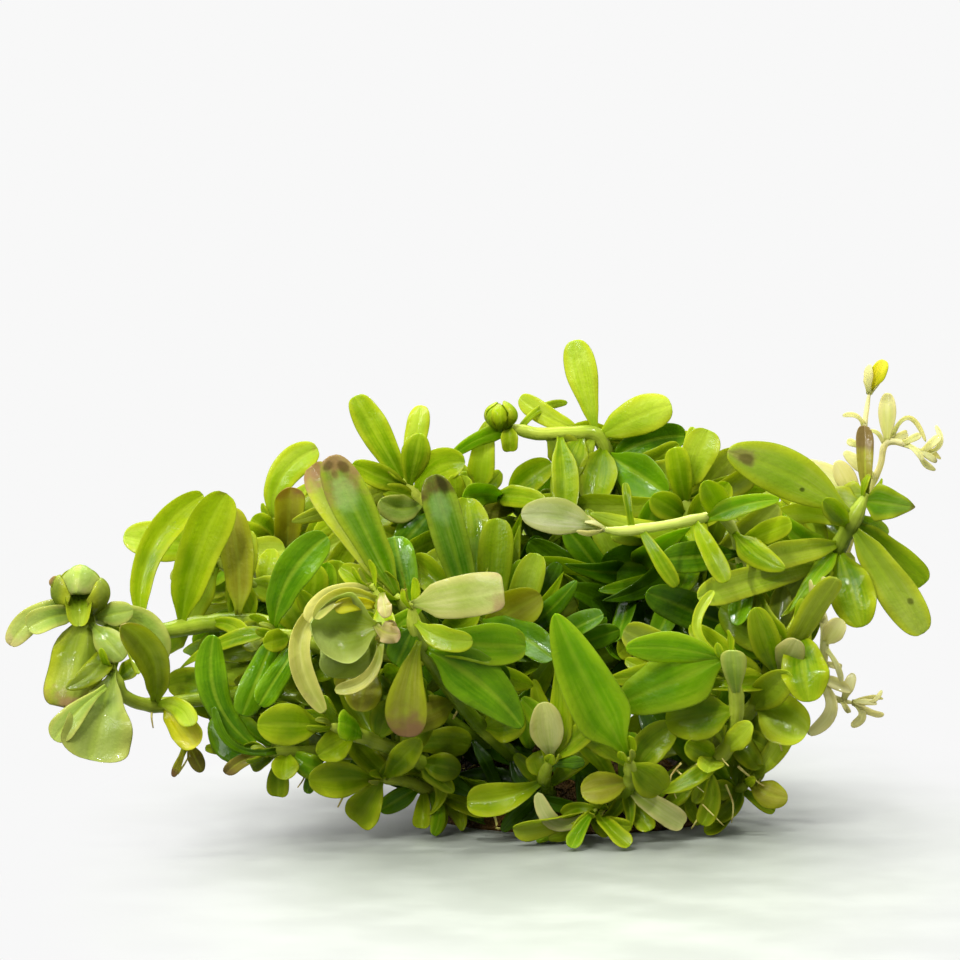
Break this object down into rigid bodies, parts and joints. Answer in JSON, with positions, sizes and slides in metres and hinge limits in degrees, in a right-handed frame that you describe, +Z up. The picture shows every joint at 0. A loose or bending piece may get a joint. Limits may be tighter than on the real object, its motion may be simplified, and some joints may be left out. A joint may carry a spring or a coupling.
{
  "type": "rotala clump",
  "caption": "Small clump of leafy aquarium-plant shoots growing from one lump of matted roots, with no pot, for planting or dressing a tank.",
  "frame": {"origin": "middle of the flat underside of the root mass, on the surface that the clump rests on", "axes": "+Z up, +X to the right and +Y away from the viewer, as the clump is seen from its front"},
  "size_m": [0.0597, 0.0383, 0.0309],
  "materials": {
    "leaf_green": "wet glossy leaf, mid green",
    "leaf_lime": "wet glossy leaf, yellow-green and light showing through",
    "leaf_deep": "wet glossy leaf, deep green",
    "leaf_olive": "wet glossy leaf, olive with brown tips",
    "leaf_pale": "thin pale leaf, cream and green",
    "stem_green": "smooth wet stem and its small leaves",
    "stem_pale": "pale, thin, almost clear stem and leaves",
    "root_brown": "matted wet roots, dark brown"
  },
  "bodies": {
    "root": {"root_mass": "root_brown", "shoot_left_long": "stem_green", "shoot_left_up": "stem_green", "shoot_left_low": "stem_green", "shoot_left_cup": "stem_green", "shoot_left_mid": "stem_green", "shoot_left_floor": "stem_green", "shoot_left_dark": "stem_green", "shoot_left_back": "stem_green", "shoot_red_tip": "stem_green", "shoot_curl": "stem_green", "shoot_star": "stem_green", "shoot_dark_tip": "stem_green", "shoot_cream": "stem_green", "shoot_lime": "stem_green", "shoot_top": "stem_green", "shoot_crown": "stem_green", "shoot_pale_stem": "stem_pale", "shoot_right_main": "stem_green", "shoot_right_low": "stem_green", "shoot_right_front": "stem_green", "shoot_right_floor": "stem_green", "shoot_front": "stem_green", "shoot_front_left": "stem_green", "shoot_front_sprout": "stem_green", "shoot_pale_top": "stem_pale", "shoot_bud_stalk": "stem_pale", "shoot_pale_low": "stem_pale", "shoot_pale_low_sprout": "stem_pale", "shoot_back_left": "stem_green", "shoot_back_low_left": "stem_green", "shoot_back_mid": "stem_green", "shoot_back_top": "stem_green", "shoot_back_right": "stem_green", "shoot_back_low_right": "stem_green", "shoot_back_low": "stem_green", "shoot_inner_right": "stem_green", "leaf_top_spoon": "leaf_lime", "leaf_top_right": "leaf_lime", "leaf_star_strap": "leaf_green", "leaf_lime_strap": "leaf_lime", "leaf_red_tip": "leaf_green", "leaf_dark_tip": "leaf_deep", "leaf_back_arch": "leaf_green", "leaf_arch_outer": "leaf_green", "leaf_left_round": "leaf_lime", "leaf_far_left_broad": "leaf_green", "leaf_left_folded": "leaf_green", "leaf_round_left": "leaf_green", "leaf_cream_front": "leaf_pale", "leaf_whitish": "leaf_pale", "leaf_brown_spot": "leaf_green", "leaf_lime_long": "leaf_lime", "leaf_right_dark_tip": "leaf_green", "leaf_olive_upright": "leaf_olive", "leaf_right_long": "leaf_lime", "leaf_right_oval": "leaf_green", "leaf_front_big": "leaf_green", "leaf_big_left": "leaf_green", "leaf_dark_arch": "leaf_deep"}
  },
  "joints": []
}
